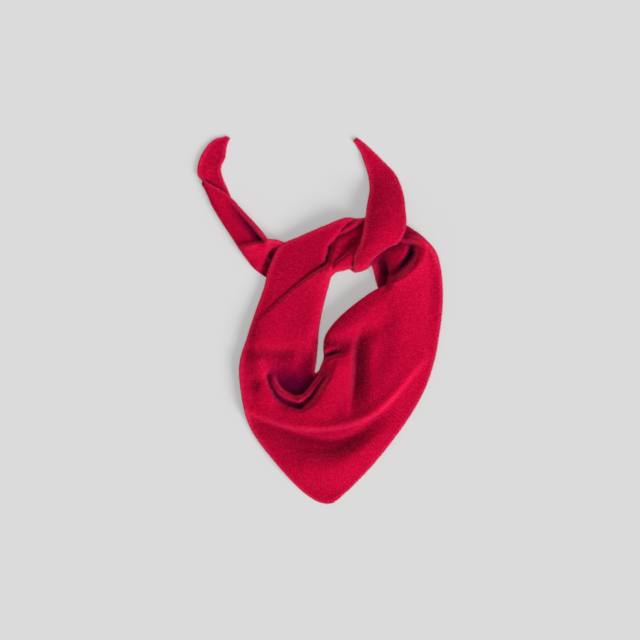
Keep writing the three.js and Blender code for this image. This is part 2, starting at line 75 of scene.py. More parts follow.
# The cloth is one long strip that runs from one tail tip round the knot to the other tail tip.
# Each row is a section across it: neck edge, fold and outer edge, each as an X place in shares of
# LAID_WIDTH, a Y place in shares of LAID_LENGTH and a level in counts of LAYER_HEIGHT, and then the
# roll of the fold as a share of ROLL_RADIUS.
LEFT_TAIL = [
    (-0.367, 0.493, 0.0, -0.374, 0.496, 0.0, -0.382, 0.498, 0.0, 0.6),
    (-0.380, 0.473, 0.1, -0.408, 0.480, 0.0, -0.437, 0.486, 0.3, 1.0),
    (-0.387, 0.440, 0.6, -0.439, 0.451, 0.0, -0.479, 0.450, 0.8, 1.6),
    (-0.404, 0.413, 0.7, -0.449, 0.414, 0.5, -0.497, 0.412, 0.9, 1.3),
    (-0.396, 0.384, 0.5, -0.470, 0.392, 0.7, -0.490, 0.386, 1.0, 1.0),
    (-0.378, 0.356, 0.3, -0.485, 0.372, 0.8, -0.449, 0.367, 1.4, 0.8),
    (-0.367, 0.337, 0.1, -0.474, 0.357, 0.8, -0.392, 0.346, 1.5, 0.8),
    (-0.363, 0.326, 0.0, -0.459, 0.335, 0.9, -0.353, 0.324, 1.7, 0.8),
    (-0.355, 0.307, 0.0, -0.441, 0.307, 1.0, -0.316, 0.297, 2.3, 0.8),
    (-0.327, 0.271, 0.0, -0.399, 0.260, 1.0, -0.278, 0.269, 3.2, 0.8),
    (-0.290, 0.238, 0.0, -0.359, 0.219, 1.0, -0.243, 0.243, 4.0, 0.8),
    (-0.257, 0.208, 0.0, -0.333, 0.192, 1.0, -0.212, 0.218, 4.0, 0.8),
    (-0.220, 0.178, 0.0, -0.302, 0.163, 0.9, -0.176, 0.215, 2.6, 0.8),
    (-0.192, 0.157, 0.0, -0.261, 0.131, 0.7, -0.139, 0.207, 1.5, 0.8),
]

KNOT_CORE = [
    (-0.151, 0.140, 0.0, -0.188, 0.105, 0.5, -0.098, 0.196, 0.9, 0.8),
    (-0.069, 0.124, 0.0, -0.069, 0.113, 0.5, -0.033, 0.206, 0.6, 0.8),
    (0.008, 0.132, 0.2, 0.008, 0.140, 0.6, 0.024, 0.217, 0.8, 0.8),
    (0.073, 0.151, 0.9, 0.078, 0.173, 1.4, 0.086, 0.228, 1.2, 1.0),
    (0.131, 0.166, 1.7, 0.139, 0.200, 2.2, 0.151, 0.244, 1.8, 1.8),
    (0.180, 0.180, 2.0, 0.208, 0.206, 2.4, 0.233, 0.240, 2.0, 1.8),
    (0.204, 0.158, 2.0, 0.278, 0.189, 2.2, 0.326, 0.259, 2.0, 1.8),
]

BIB = [
    (0.216, 0.140, 1.8, 0.376, 0.207, 4.2, 0.378, 0.244, 1.8, 1.0),
    (0.224, 0.119, 1.5, 0.427, 0.191, 5.6, 0.424, 0.218, 2.2, 0.8),
    (0.233, 0.097, 1.3, 0.412, 0.158, 6.2, 0.469, 0.183, 2.2, 0.8),
    (0.245, 0.078, 1.2, 0.376, 0.134, 6.4, 0.488, 0.147, 2.2, 0.8),
    (0.278, 0.048, 0.8, 0.310, 0.105, 6.4, 0.497, 0.108, 2.0, 1.0),
    (0.237, 0.020, 0.4, 0.221, 0.081, 6.4, 0.500, 0.061, 1.6, 1.0),
    (0.151, -0.012, 0.2, 0.137, 0.042, 6.4, 0.496, 0.012, 1.2, 1.0),
    (0.094, -0.040, 0.1, 0.067, 0.001, 6.4, 0.486, -0.040, 0.8, 1.0),
    (0.065, -0.067, 0.1, 0.022, -0.039, 6.4, 0.467, -0.110, 0.5, 1.0),
    (0.057, -0.089, 0.1, 0.012, -0.071, 6.4, 0.424, -0.194, 0.3, 1.0),
    (0.049, -0.110, 0.1, 0.013, -0.102, 6.0, 0.348, -0.281, 0.1, 1.0),
    (0.024, -0.128, 0.1, 0.002, -0.128, 4.8, 0.227, -0.386, 0.1, 1.0),
    (-0.004, -0.142, 0.3, -0.010, -0.153, 3.0, 0.106, -0.470, 0.1, 1.0),
    (-0.018, -0.147, 0.4, -0.022, -0.163, 2.2, 0.031, -0.501, 0.1, 1.0),
    (-0.021, -0.142, 0.6, -0.047, -0.158, 1.8, -0.068, -0.468, 0.1, 1.0),
    (-0.020, -0.135, 0.7, -0.055, -0.143, 1.6, -0.203, -0.370, 0.4, 1.0),
    (-0.017, -0.123, 0.8, -0.053, -0.128, 1.6, -0.288, -0.285, 1.4, 1.0),
]

LEFT_BAND = [
    (-0.013, -0.102, 1.0, -0.047, -0.104, 2.0, -0.321, -0.187, 2.6, 1.0),
    (-0.009, -0.067, 1.6, -0.041, -0.068, 3.2, -0.324, -0.116, 2.8, 1.0),
    (-0.002, -0.015, 2.2, -0.033, -0.018, 4.0, -0.292, -0.044, 2.6, 1.0),
    (0.016, 0.044, 2.6, -0.016, 0.040, 4.0, -0.258, 0.026, 2.2, 1.0),
    (0.033, 0.086, 3.0, 0.000, 0.083, 4.0, -0.229, 0.080, 1.9, 1.0),
    (0.042, 0.110, 3.4, 0.014, 0.117, 4.8, -0.204, 0.140, 2.1, 0.8),
    (0.051, 0.120, 3.4, 0.037, 0.136, 4.8, -0.161, 0.198, 2.4, 0.8),
]

KNOT_FRONT = [
    (0.069, 0.129, 3.4, 0.063, 0.144, 4.8, -0.082, 0.224, 3.2, 0.8),
    (0.102, 0.134, 3.6, 0.100, 0.149, 5.0, 0.020, 0.253, 4.1, 0.8),
    (0.139, 0.142, 3.8, 0.139, 0.157, 4.9, 0.102, 0.274, 4.3, 1.0),
    (0.200, 0.165, 4.0, 0.196, 0.178, 5.1, 0.151, 0.272, 4.4, 1.0),
    (0.265, 0.200, 4.2, 0.249, 0.217, 4.9, 0.188, 0.274, 3.7, 1.2),
]

KNOT_BACK = [
    (0.269, 0.268, 2.6, 0.233, 0.273, 2.4, 0.180, 0.272, 2.0, 1.4),
    (0.265, 0.260, 0.3, 0.216, 0.259, 0.0, 0.151, 0.255, 0.0, 1.4),
    (0.253, 0.206, 0.0, 0.188, 0.204, 0.0, 0.110, 0.202, 0.0, 1.4),
    (0.229, 0.165, 0.1, 0.167, 0.157, 0.0, 0.106, 0.154, 0.0, 1.4),
    (0.196, 0.143, 2.2, 0.171, 0.131, 2.4, 0.139, 0.131, 2.2, 1.0),
    (0.212, 0.163, 5.4, 0.171, 0.146, 5.9, 0.139, 0.146, 5.6, 1.0),
]

RIGHT_TAIL = [
    (0.271, 0.193, 6.2, 0.204, 0.192, 6.6, 0.143, 0.173, 5.7, 1.8),
    (0.318, 0.208, 6.4, 0.241, 0.219, 7.6, 0.167, 0.208, 5.6, 2.0),
    (0.347, 0.247, 6.4, 0.261, 0.255, 8.2, 0.181, 0.252, 5.7, 2.2),
    (0.345, 0.301, 4.8, 0.269, 0.301, 6.6, 0.192, 0.307, 4.6, 2.4),
    (0.336, 0.346, 2.6, 0.273, 0.345, 4.0, 0.203, 0.351, 2.8, 2.2),
    (0.308, 0.394, 0.8, 0.251, 0.388, 1.6, 0.200, 0.387, 1.3, 1.8),
    (0.257, 0.431, 0.1, 0.220, 0.425, 0.7, 0.181, 0.429, 1.1, 1.4),
    (0.192, 0.473, 0.0, 0.178, 0.467, 0.2, 0.164, 0.459, 0.3, 0.8),
    (0.152, 0.494, 0.0, 0.145, 0.491, 0.0, 0.138, 0.487, 0.0, 0.4),
]

REGIONS = {
    "leftTail": LEFT_TAIL,
    "knotCore": KNOT_CORE,
    "bib": BIB,
    "leftBand": LEFT_BAND,
    "knotFront": KNOT_FRONT,
    "knotBack": KNOT_BACK,
    "rightTail": RIGHT_TAIL,
}

# Ridges and valleys pressed into the strip: name, first and last region, four places along the fold
# in shares of LAID_WIDTH and LAID_LENGTH, the rise at each in shares of FOLD_HEIGHT, the reach to the
# left and right of it in shares of FOLD_REACH, how round its crest is from nought for a crisp one to
# two, and how far it moves the turned-in neck side.
TAIL_FOLDS = [
    ("trough", "leftTail", "leftTail", -0.392, 0.337, -0.339, 0.295, -0.278, 0.251, -0.239, 0.220,
     -0.1, -0.5, -0.8, -0.9, 0.10, 0.28, 1.6, 0),
    ("lip", "leftTail", "leftTail", -0.327, 0.198, -0.286, 0.199, -0.245, 0.206, -0.196, 0.211,
     0.2, 0.6, 0.6, 0.1, 0.08, 0.28, 0.9, 0),
    ("dent", "leftTail", "leftTail", -0.461, 0.407, -0.445, 0.399, -0.433, 0.391, -0.412, 0.377,
     0, -0.2, -0.2, 0, 0.14, 0.14, 2.0, 1),
    ("root", "leftTail", "knotCore", -0.237, 0.121, -0.212, 0.157, -0.200, 0.178, -0.188, 0.200,
     -0.4, -0.8, -0.7, -0.2, 0.12, 0.16, 2.0, 0),
]

BAND_FOLDS = [
    ("pleat", "leftBand", "knotFront", -0.280, -0.022, -0.190, 0.030, -0.076, 0.095, 0.027, 0.141,
     0, 0.2, 0.3, 0.45, 0.07, 0.52, 0.9, 0),
    ("pleatCrease", "leftBand", "knotFront", -0.280, -0.016, -0.190, 0.036, -0.076, 0.101, 0.023, 0.147,
     0, -0.10, -0.16, -0.2, 0.12, 0.06, 0.9, 0),
    ("sideSwell", "bib", "leftBand", -0.229, 0.010, -0.249, -0.045, -0.253, -0.115, -0.233, -0.210,
     0.1, 0.35, 0.4, 0.3, 0.60, 0.26, 2.0, 0),
    ("sideValley", "bib", "leftBand", -0.314, -0.081, -0.237, -0.088, -0.155, -0.090, -0.082, -0.082,
     -0.1, -0.4, -0.4, -0.15, 0.20, 0.24, 2.0, 0),
]

KNOT_FOLDS = [
    ("slot", "leftBand", "knotFront", -0.004, 0.138, 0.022, 0.151, 0.029, 0.170, 0.041, 0.198,
     -0.2, -0.65, -0.75, -0.4, 0.08, 0.13, 1.1, 0),
    ("groove", "knotFront", "knotFront", 0.035, 0.196, 0.069, 0.222, 0.122, 0.241, 0.178, 0.260,
     -0.6, -0.6, -0.5, -0.3, 0.08, 0.14, 1.0, 0),
    ("rib", "knotFront", "knotFront", 0.053, 0.212, 0.082, 0.234, 0.118, 0.253, 0.171, 0.272,
     0.1, 0.2, 0.2, 0.1, 0.06, 0.06, 1.4, 0),
    ("topGroove", "knotFront", "knotFront", 0.065, 0.226, 0.090, 0.243, 0.122, 0.260, 0.155, 0.277,
     -0.3, -0.5, -0.5, -0.3, 0.06, 0.08, 1.0, 0),
    ("lipGroove", "knotFront", "knotFront", 0.041, 0.132, 0.061, 0.153, 0.094, 0.172, 0.131, 0.189,
     -0.5, -0.4, -0.3, -0.1, 0.16, 0.07, 0.9, 0),
    ("frontHollow", "knotFront", "knotFront", 0.073, 0.184, 0.098, 0.196, 0.131, 0.210, 0.171, 0.232,
     -0.3, -0.5, -0.5, -0.2, 0.24, 0.24, 2.0, 0),
    ("lipCrease", "knotFront", "rightTail", 0.139, 0.184, 0.143, 0.170, 0.143, 0.157, 0.139, 0.140,
     0, -0.3, -0.3, 0, 0.06, 0.06, 0.9, 0),
]

BIB_FOLDS = [
    ("cowlCrest", "bib", "leftBand", -0.237, -0.241, -0.139, -0.249, -0.024, -0.235, 0.069, -0.132,
     0.0, 0.3, 0.5, 0.3, 0.12, 0.50, 1.7, 0),
    ("cowlEdge", "bib", "leftBand", -0.298, -0.238, -0.061, -0.287, 0.196, -0.257, 0.408, -0.113,
     0.15, 0.25, 0.38, 0.2, 0.56, 0.14, 1.3, 0),
    ("cowlLip", "bib", "leftBand", -0.306, -0.250, -0.061, -0.297, 0.204, -0.264, 0.424, -0.114,
     0.15, 0.35, 0.40, 0.1, 0.26, 0.06, 0.9, 0),
    ("flapValley", "bib", "leftBand", -0.265, -0.280, -0.069, -0.326, 0.098, -0.332, 0.270, -0.258,
     -0.25, -0.55, -0.6, -0.1, 0.17, 0.30, 2.0, 0),
    ("flapCrest", "bib", "leftBand", -0.212, -0.354, -0.061, -0.398, 0.098, -0.390, 0.286, -0.286,
     0.2, 0.7, 0.6, 0.2, 0.42, 0.56, 2.0, 0),
    ("bibSwell", "bib", "bib", 0.327, 0.094, 0.335, -0.015, 0.306, -0.116, 0.245, -0.192,
     0.2, 0.35, 0.4, 0.2, 0.70, 0.40, 2.0, 0),
    ("hollow", "bib", "leftBand", -0.180, -0.154, -0.141, -0.184, -0.078, -0.197, -0.014, -0.153,
     -0.7, -1.1, -1.15, -0.8, 0.90, 0.13, 2.0, 0),
    ("heartRimLeft", "bib", "leftBand", -0.196, -0.159, -0.167, -0.189, -0.122, -0.211, -0.082, -0.218,
     0.2, 0.45, 0.45, 0.35, 0.12, 0.10, 1.6, 0),
    ("heartRimRight", "bib", "leftBand", -0.082, -0.218, -0.053, -0.203, -0.024, -0.181, 0.004, -0.157,
     0.35, 0.45, 0.5, 0.3, 0.12, 0.10, 1.6, 0),
    ("heartGrooveLeft", "bib", "leftBand", -0.216, -0.154, -0.176, -0.206, -0.122, -0.230, -0.078, -0.238,
     -0.6, -0.9, -1.0, -0.9, 0.13, 0.11, 1.2, 0),
    ("heartGrooveRight", "bib", "leftBand", -0.078, -0.238, -0.037, -0.214, 0.000, -0.178, 0.041, -0.151,
     -0.9, -0.8, -0.6, -0.2, 0.12, 0.07, 1.2, 0),
    ("sideDent", "bib", "leftBand", -0.290, -0.157, -0.273, -0.168, -0.257, -0.178, -0.241, -0.187,
     -0.1, -0.35, -0.35, -0.1, 0.24, 0.22, 2.0, 0),
    ("centreValley", "bib", "bib", 0.171, -0.034, 0.149, -0.087, 0.143, -0.165, 0.133, -0.245,
     -0.3, -0.95, -0.90, -0.15, 0.36, 0.14, 1.7, 0),
    ("shoulderValley", "bib", "bib", 0.053, -0.048, 0.143, -0.042, 0.220, -0.026, 0.290, 0.010,
     -0.1, -0.2, -0.2, -0.05, 0.24, 0.26, 2.0, 0),
    ("tuck", "bib", "bib", -0.008, -0.116, 0.018, -0.101, 0.057, -0.091, 0.106, -0.085,
     -0.3, -0.9, -1.0, -0.2, 0.15, 0.12, 1.5, 0),
    ("tuckDent", "bib", "bib", 0.000, -0.058, 0.041, -0.067, 0.090, -0.070, 0.155, -0.064,
     -0.4, -0.5, -0.5, -0.1, 0.26, 0.16, 2.0, 0),
    ("neckRoll", "bib", "bib", 0.233, 0.080, 0.143, 0.037, 0.061, -0.010, 0.020, -0.061,
     -0.5, -0.5, -0.5, -0.3, 0.28, 0.12, 0.9, 1),
    ("stripValley", "knotCore", "bib", 0.237, 0.183, 0.257, 0.157, 0.269, 0.127, 0.269, 0.097,
     -0.1, -0.8, -1.0, -0.5, 0.18, 0.20, 1.7, 1),
    ("pocket", "knotCore", "bib", 0.373, 0.196, 0.369, 0.178, 0.347, 0.155, 0.310, 0.126,
     -0.95, -1.4, -1.2, -0.5, 0.18, 0.13, 1.6, 1),
    ("outerRidge", "knotCore", "bib", 0.327, 0.220, 0.396, 0.213, 0.449, 0.190, 0.473, 0.149,
     0.4, 0.6, 0.5, 0.1, 0.12, 0.10, 0.9, 0),
    ("edgeValley", "bib", "bib", 0.420, 0.176, 0.445, 0.122, 0.449, 0.053, 0.441, -0.042,
     -0.1, -0.2, -0.2, 0, 0.20, 0.22, 2.0, 0),
]

FOLDS = TAIL_FOLDS + BAND_FOLDS + KNOT_FOLDS + BIB_FOLDS

# Columns of the fold tables
FOLD_NAMES = slice(0, 3)
FOLD_PLACES = slice(3, 11)
FOLD_RISES = slice(11, 15)
FOLD_SHAPE = slice(15, 19)

# Folds whose depth is painted as shade: deep hollows and grooves, then broad valleys
SHADED_HOLLOWS = (
    "trough",
    "root",
    "slot",
    "hollow",
    "heartGrooveLeft",
    "heartGrooveRight",
    "tuck",
    "pocket",
    "stripValley",
)
SHADED_VALLEYS = (
    "flapValley",
    "centreValley",
    "sideValley",
    "sideDent",
    "tuckDent",
    "frontHollow",
    "pleatCrease",
)

# Colours of the cloth
RED = (0.55, 0.0010, 0.036, 1.0)
RED_LIGHT = (0.66, 0.0030, 0.050, 1.0)
RED_DARK = (0.45, 0.0005, 0.028, 1.0)
SHEEN_TINT = (1.0, 0.03, 0.20, 1.0)
PAINTED_RIM_COLOUR = (0.85, 0.030, 0.110, 1.0)
WHITE = (1.0, 1.0, 1.0, 1.0)

# Painted light: tints that multiply the colour, as painted highlights on crisp crests and cut edges and as
# painted shade in deep folds, broad valleys and creases
CREST_HIGHLIGHT = (1.35, 5.0, 1.5, 1.0)
EDGE_HIGHLIGHT = (1.50, 9.0, 2.2, 1.0)
DEPTH_SHADE = (0.24, 0.22, 0.80, 1.0)
VALLEY_SHADE = (0.45, 0.33, 0.50, 1.0)
CREASE_SHADE = (0.20, 0.10, 0.90, 1.0)

# Where the painted highlights and painted shade start and end: rises, depths and widths in metres, openness
# as a share of the sky
CREST_LINE_RISE = 0.003
CREST_LINE_WIDTH = 0.0018
CRISP_FULLNESS = 1.2
EDGE_GLOW_WIDTH = 0.0026
DEPTH_START = 0.0015
DEPTH_END = 0.0095
VALLEY_END = 0.006
CREASE_REACH = 0.035
CREASE_RAYS = 8
CREASE_CLOSED = 0.20
CREASE_OPEN = 0.98

# Finish of the cloth
CLOTH_ROUGHNESS = 0.92
CLOTH_SPECULAR = 0.03
SHEEN_WEIGHT = 0.35
SHEEN_ROUGHNESS = 0.35
MOTTLE_SCALE = 420
MOTTLE_DETAIL = 5
MOTTLE_ROUGHNESS = 0.65
MOTTLE_DARKEST = 0.36
MOTTLE_MIDDLE = 0.5
MOTTLE_LIGHTEST = 0.64
WALES_SCALE = 140.0
WALES_DISTORTION = 1.5
WALES_DETAIL_SCALE = 2.0
WALES_SHARE = 0.10
NAP_SCALE = 900
NAP_DETAIL = 4
NAP_STRENGTH = 0.45
NAP_HEIGHT = 0.0006

# Painted rim light: the rims glow as the upright part of the surface's direction falls from the start to
# the end
RIM_START = 0.80
RIM_END = 0.20
PAINTED_RIM_STRENGTH = 0.38

# Loose fibres
FUZZ_COUNT = 150000
FUZZ_LENGTH = 0.0022
FUZZ_SHORTEST_SHARE = 0.4
FUZZ_WIDTH = 0.00012
FUZZ_LIFT = 0.75
FUZZ_ON_TURNS = 20.0
FUZZ_ON_EDGES = 8.0
FUZZ_LOWEST_FACING = -0.5
FUZZ_SHADED_BY_CLOTH = 0.25
FUZZ_SEED = 7
FIBRE_LIGHT = (0.85, 0.045, 0.120, 1.0)
FIBRE_DARK = (0.62, 0.008, 0.060, 1.0)
FIBRE_PAINTED_GLOW = 0.32
FIBRE_ROUGHNESS = 1.0
FIBRE_SPECULAR = 0.02
FIBRE_TONE_SCALE = 700
FIBRE_TONE_DARKEST = 0.35
FIBRE_TONE_LIGHTEST = 0.65

# Floor, camera and light
FLOOR_GREY = (0.40, 0.40, 0.40, 1.0)
FLOOR_GLOW = 0.36
FLOOR_ROUGHNESS = 0.9
FLOOR_SPECULAR = 0.0
FLOOR_SIZE = 6.0
FLOOR_DROP = 0.00005
CAMERA_HEIGHT = 1.6
FIELD_WIDTH = 0.640
SENSOR_WIDTH = 36.0
SUN_AZIMUTH = math.radians(-40)
SUN_ELEVATION = math.radians(31)
SUN_ANGLE = math.radians(32)
SUN_STRENGTH = 3.5
SKY_STRENGTH = 0.30


Fold = namedtuple("Fold", "name first last corners rises left_reach right_reach fullness on_wall")


def read_fold(row):
    """One row of the fold tables, with its places and lengths in metres."""
    name, first, last = row[FOLD_NAMES]
    corners = np.array(row[FOLD_PLACES]).reshape(-1, 2) * (LAID_WIDTH, LAID_LENGTH)
    rises = np.array(row[FOLD_RISES]) * FOLD_HEIGHT
    left, right, fullness, on_wall = row[FOLD_SHAPE]
    return Fold(name, first, last, corners, rises, left * FOLD_REACH, right * FOLD_REACH, fullness, on_wall)


def unit_vectors(vectors, smallest=SMALLEST_LENGTH):
    """Each vector at a length of one."""
    return vectors / np.maximum(np.linalg.norm(vectors, axis=-1, keepdims=True), smallest)


def smooth_step(value, low, high):
    t = np.clip((value - low) / np.maximum(high - low, SMALLEST_LENGTH), 0, 1)
    return t * t * (3 - 2 * t)


def through_four(a, b, c, d, t):
    """Smooth curve from b to c that looks back to a and on to d."""
    bend = 2 * a - 5 * b + 4 * c - d
    turn = -a + 3 * b - 3 * c + d
    return b + t * (c - a + t * (bend + t * turn)) / 2


def points_along(points, positions):
    """Places on the smooth curve through the points, at positions counted in points."""
    first = 2 * points[0] - points[1]
    last = 2 * points[-1] - points[-2]
    padded = np.concatenate([[first], points, [last]])
    span = np.minimum(np.floor(positions).astype(int), len(points) - 2)
    t = (positions - span).reshape((-1,) + (1,) * (points.ndim - 1))
    around = [padded[span + offset] for offset in range(4)]
    return through_four(*around, t)


def region_spans():
    """First and last section number of each region."""
    spans = {}
    start = 0
    for name, rows in REGIONS.items():
        spans[name] = (start, start + len(rows) - 1)
        start += len(rows)
    return spans


def strip_sections():
    """Rails and roll of the whole strip, filled in between the table's rows."""
    rows = np.array([row for table in REGIONS.values() for row in table])
    rails = rows[:, :-1].reshape(-1, 3, 3) * (LAID_WIDTH, LAID_LENGTH, LAYER_HEIGHT)
    rails[..., 2] += CLOTH_THICKNESS / 2
    rolls = rows[:, -1] * ROLL_RADIUS
    numbers = []
    for name, (first, last) in region_spans().items():
        steps = STEPS_PER_SECTION[name]
        numbers.extend(first + np.arange((last - first + 1) * steps) / steps)
    numbers = np.array([number for number in numbers if number <= len(rows) - 1])
    return numbers, points_along(rails, numbers), points_along(rolls, numbers)


def shares_across(length):
    """Share of the way across at which each column lies, finer along both cut edges."""
    edge = np.array(EDGE_COLUMNS)
    scale = np.minimum(1.0, WIDEST_EDGE_SHARE * length / edge[-1])[:, None]
    near = edge * scale / length[:, None]
    inner = np.linspace(0, 1, STEPS_ACROSS + 1 - 2 * (len(edge) - 1))[1:-1]
    start = near[:, -1:]
    middle = start + inner * (1 - 2 * start)
    return np.concatenate([near, middle, (1 - near)[:, ::-1]], axis=1)


def across_sections(rails, roll):
    """Two straight runs, neck edge to fold and fold to outer edge, joined by a rolled bend."""
    neck, fold, outer = rails[:, 0], rails[:, 1], rails[:, 2]
    inward = fold - neck
    outward = outer - fold
    inward_length = np.linalg.norm(inward, axis=1)
    length = inward_length + np.linalg.norm(outward, axis=1)
    fold_share = np.clip(inward_length / length, SMALLEST_FOLD_SHARE, 1 - SMALLEST_FOLD_SHARE)
    bend = np.minimum(np.minimum(roll / length, fold_share), 1 - fold_share)[:, None]
    turned_back = -(unit_vectors(inward[:, :2]) * unit_vectors(outward[:, :2])).sum(axis=1)
    parting = np.maximum(0, turned_back)[:, None] * PARTING_SHARE * LAYER_HEIGHT
    inward = inward / fold_share[:, None]
    outward = outward / (1 - fold_share)[:, None]
    share = shares_across(length)
    past = share - fold_share[:, None]
    rolled = np.abs(past) < bend
    rounding = (past**2 + bend**2) / (4 * bend)
    in_part = np.where(rolled, past / 2 - rounding, np.minimum(past, 0))
    out_part = np.where(rolled, past / 2 + rounding, np.maximum(past, 0))
    surface = fold[:, None] + in_part[..., None] * inward[:, None]
    surface = surface + out_part[..., None] * outward[:, None]
    surface[..., 2] += np.sign(past) * parting * smooth_step(np.abs(past), 0, bend)
    wall = smooth_step(share, 0, fold_share[:, None])
    edge_distance = np.minimum(share, 1 - share) * length[:, None]
    return surface, wall, edge_distance, share * length[:, None]


def crest_shape(distance, reach, fullness):
    """A crest that flattens out: crisp at a fullness of nought, round at a fullness of two."""
    share = np.minimum(distance / reach, 1)
    return (1 - share) ** 2 * (1 + fullness * share)


def fold_rise(fold, points):
    """Height that one fold adds at each point, seen from above, and how near its crisp crest is."""
    spans = len(fold.corners) - 1
    line = points_along(fold.corners, np.linspace(0, spans, spans * STEPS_ALONG_FOLD_SPAN + 1))
    nearest = np.full(len(points), np.inf)
    side = np.zeros(len(points))
    along = np.zeros(len(points))
    for index, (start, end) in enumerate(zip(line[:-1], line[1:])):
        step = end - start
        off = points - start
        held = np.clip(off @ step / (step @ step), 0, 1)
        distance = np.maximum(np.linalg.norm(off - held[:, None] * step, axis=1), SMALLEST_LENGTH)
        cross = (step[0] * off[:, 1] - step[1] * off[:, 0]) / np.linalg.norm(step)
        closer = distance < nearest
        nearest = np.where(closer, distance, nearest)
        side = np.where(closer, np.clip(cross / distance, -1, 1), side)
        along = np.where(closer, (index + held) / STEPS_ALONG_FOLD_SPAN, along)
    rise = np.interp(along, range(len(fold.rises)), fold.rises)
    reach = fold.right_reach + (fold.left_reach - fold.right_reach) * (1 + side) / 2
    # Mask for the painted highlight along a crisp crest
    crest = np.clip(rise / CREST_LINE_RISE, 0, 1) * np.exp(-((nearest / CREST_LINE_WIDTH) ** 2))
    return rise * crest_shape(nearest, reach, fold.fullness), crest * (fold.fullness < CRISP_FULLNESS)


def settled(height):
    """Lays the cloth flat where it meets the table, with a soft lift-off above that."""
    above = height - CLOTH_THICKNESS / 2
    soft = CLOTH_THICKNESS / 2 + np.maximum(above, 0) ** 2 / (4 * SETTLE_HEIGHT)
    return np.where(above >= 2 * SETTLE_HEIGHT, height - SETTLE_HEIGHT, soft)


def middle_surface():
    """Middle surface by section and column, edge distances, cloth places and the masks for the folds'
    painted highlights and painted shade.
    """
    numbers, rails, roll = strip_sections()
    surface, wall, edge_distance, across = across_sections(rails, roll)
    painted_light_masks = {name: np.zeros(wall.shape) for name in ("crest", "depth", "valley")}
    spans = region_spans()
    for fold in map(read_fold, FOLDS):
        first = spans[fold.first][0]
        last = spans[fold.last][1]
        reached = np.clip(numbers - first + 1, 0, 1) * np.clip(last + 1 - numbers, 0, 1)
        rows = np.nonzero(reached > 0)[0]
        rise, crest = fold_rise(fold, surface[rows, :, :2].reshape(-1, 2))
        strength = reached[rows, None] * (fold.on_wall + (1 - fold.on_wall) * wall[rows])
        rise = rise.reshape(strength.shape) * strength
        surface[rows, :, 2] += rise
        # Masks for the painted highlights on crests and the painted shade in hollows and valleys
        painted_light_masks["crest"][rows] += crest.reshape(strength.shape) * strength
        if fold.name in SHADED_HOLLOWS:
            painted_light_masks["depth"][rows] -= rise
        if fold.name in SHADED_VALLEYS:
            painted_light_masks["valley"][rows] -= rise
    surface[..., 2] = settled(surface[..., 2])
    middle = surface[:, surface.shape[1] // 2]
    along = np.concatenate([[0], np.cumsum(np.linalg.norm(np.diff(middle, axis=0), axis=1))])
    return surface, edge_distance, across, along, painted_light_masks


def surface_normals(surface):
    """Directions square to the surface, smoothed so that the thickness has no kinks."""
    along = np.gradient(surface, axis=0)
    across = np.gradient(surface, axis=1)
    normals = unit_vectors(np.cross(along, across), SMALLEST_CROSS)
    for _ in range(NORMAL_SMOOTHING):
        padded = np.pad(normals, ((1, 1), (1, 1), (0, 0)), mode="edge")
        normals = normals + padded[:-2, 1:-1] + padded[2:, 1:-1] + padded[1:-1, :-2] + padded[1:-1, 2:]
        normals = unit_vectors(normals, SMALLEST_CROSS)
    return normals


def thickness_at(edge_distance):
    """Cloth thickness: rounded off at the cut edge, a swollen border, then a fine groove."""
    rounding = np.clip(1 - edge_distance / EDGE_ROUNDING, 0, 1)
    rounded = np.sqrt(np.maximum(1 - rounding**2, EDGE_THINNEST))
    border = 1 - smooth_step(edge_distance, BORDER_WIDTH * BORDER_LEVEL_SHARE, BORDER_WIDTH)
    groove = np.exp(-(((edge_distance - BORDER_WIDTH * GROOVE_PLACE) / GROOVE_WIDTH) ** 2))
    return CLOTH_THICKNESS * rounded * (1 + BORDER_SWELL * border - GROOVE_DEPTH * groove)


def cloth_vertices(surface, edge_distance):
    """Points of the upper side and then of the lower side, above the floor and about the middle."""
    normals = surface_normals(surface)
    half = thickness_at(edge_distance)[..., None] / 2
    upper = surface + normals * half
    lower = surface - normals * half
    vertices = np.concatenate([upper.reshape(-1, 3), lower.reshape(-1, 3)])
    vertices[:, 2] = np.maximum(vertices[:, 2], 0)
    box_middle = (vertices.min(axis=0) + vertices.max(axis=0)) / 2
    vertices[:, :2] -= box_middle[:2]
    return vertices


def cloth_faces(rows, columns):
    """Faces of the upper side, the lower side and the rim that joins them."""
    up = np.arange(rows * columns).reshape(rows, columns)
    down = up + up.size
    upper = (up[:-1, :-1], up[1:, :-1], up[1:, 1:], up[:-1, 1:])
    lower = (down[:-1, :-1], down[:-1, 1:], down[1:, 1:], down[1:, :-1])
    loop = np.concatenate([up[:, 0], up[-1, 1:], up[-2::-1, -1], up[0, -2:0:-1]])
    follow = np.roll(loop, -1)
    rim = (loop, loop + up.size, follow + up.size, follow)
    return np.concatenate([np.stack(part, axis=-1).reshape(-1, 4) for part in (upper, lower, rim)])


def surface_area(surface):
    """Area of the cloth, worked out from the diagonals of its faces."""
    diagonal = surface[1:, 1:] - surface[:-1, :-1]
    other_diagonal = surface[1:, :-1] - surface[:-1, 1:]
    return np.linalg.norm(np.cross(diagonal, other_diagonal), axis=2).sum() / 2


def new_mesh(name, vertices, faces):
    mesh = bpy.data.meshes.new(name)
    mesh.from_pydata(vertices.tolist(), [], faces.tolist())
    mesh.update()
    mesh.shade_smooth()
    return mesh


def add_object(name, data):
    added = bpy.data.objects.new(name, data)
    bpy.context.scene.collection.objects.link(added)
    return added


def add_map(mesh, across, along):
    """Places on the unrolled cloth, the same for both sides."""
    places = np.stack([across, np.broadcast_to(along[:, None], across.shape)], axis=-1).reshape(-1, 2)
    places = np.concatenate([places, places])
    corners = np.zeros(len(mesh.loops), int)
    mesh.loops.foreach_get("vertex_index", corners)
    layer = mesh.uv_layers.new(name="cloth")
    layer.data.foreach_set("uv", places[corners].ravel())


def add_values(mesh, name, upper, lower):
    """One value at each point, for the upper side and the lower side."""
    layer = mesh.attributes.new(name, "FLOAT", "POINT")
    layer.data.foreach_set("value", np.stack([upper, lower]).ravel())


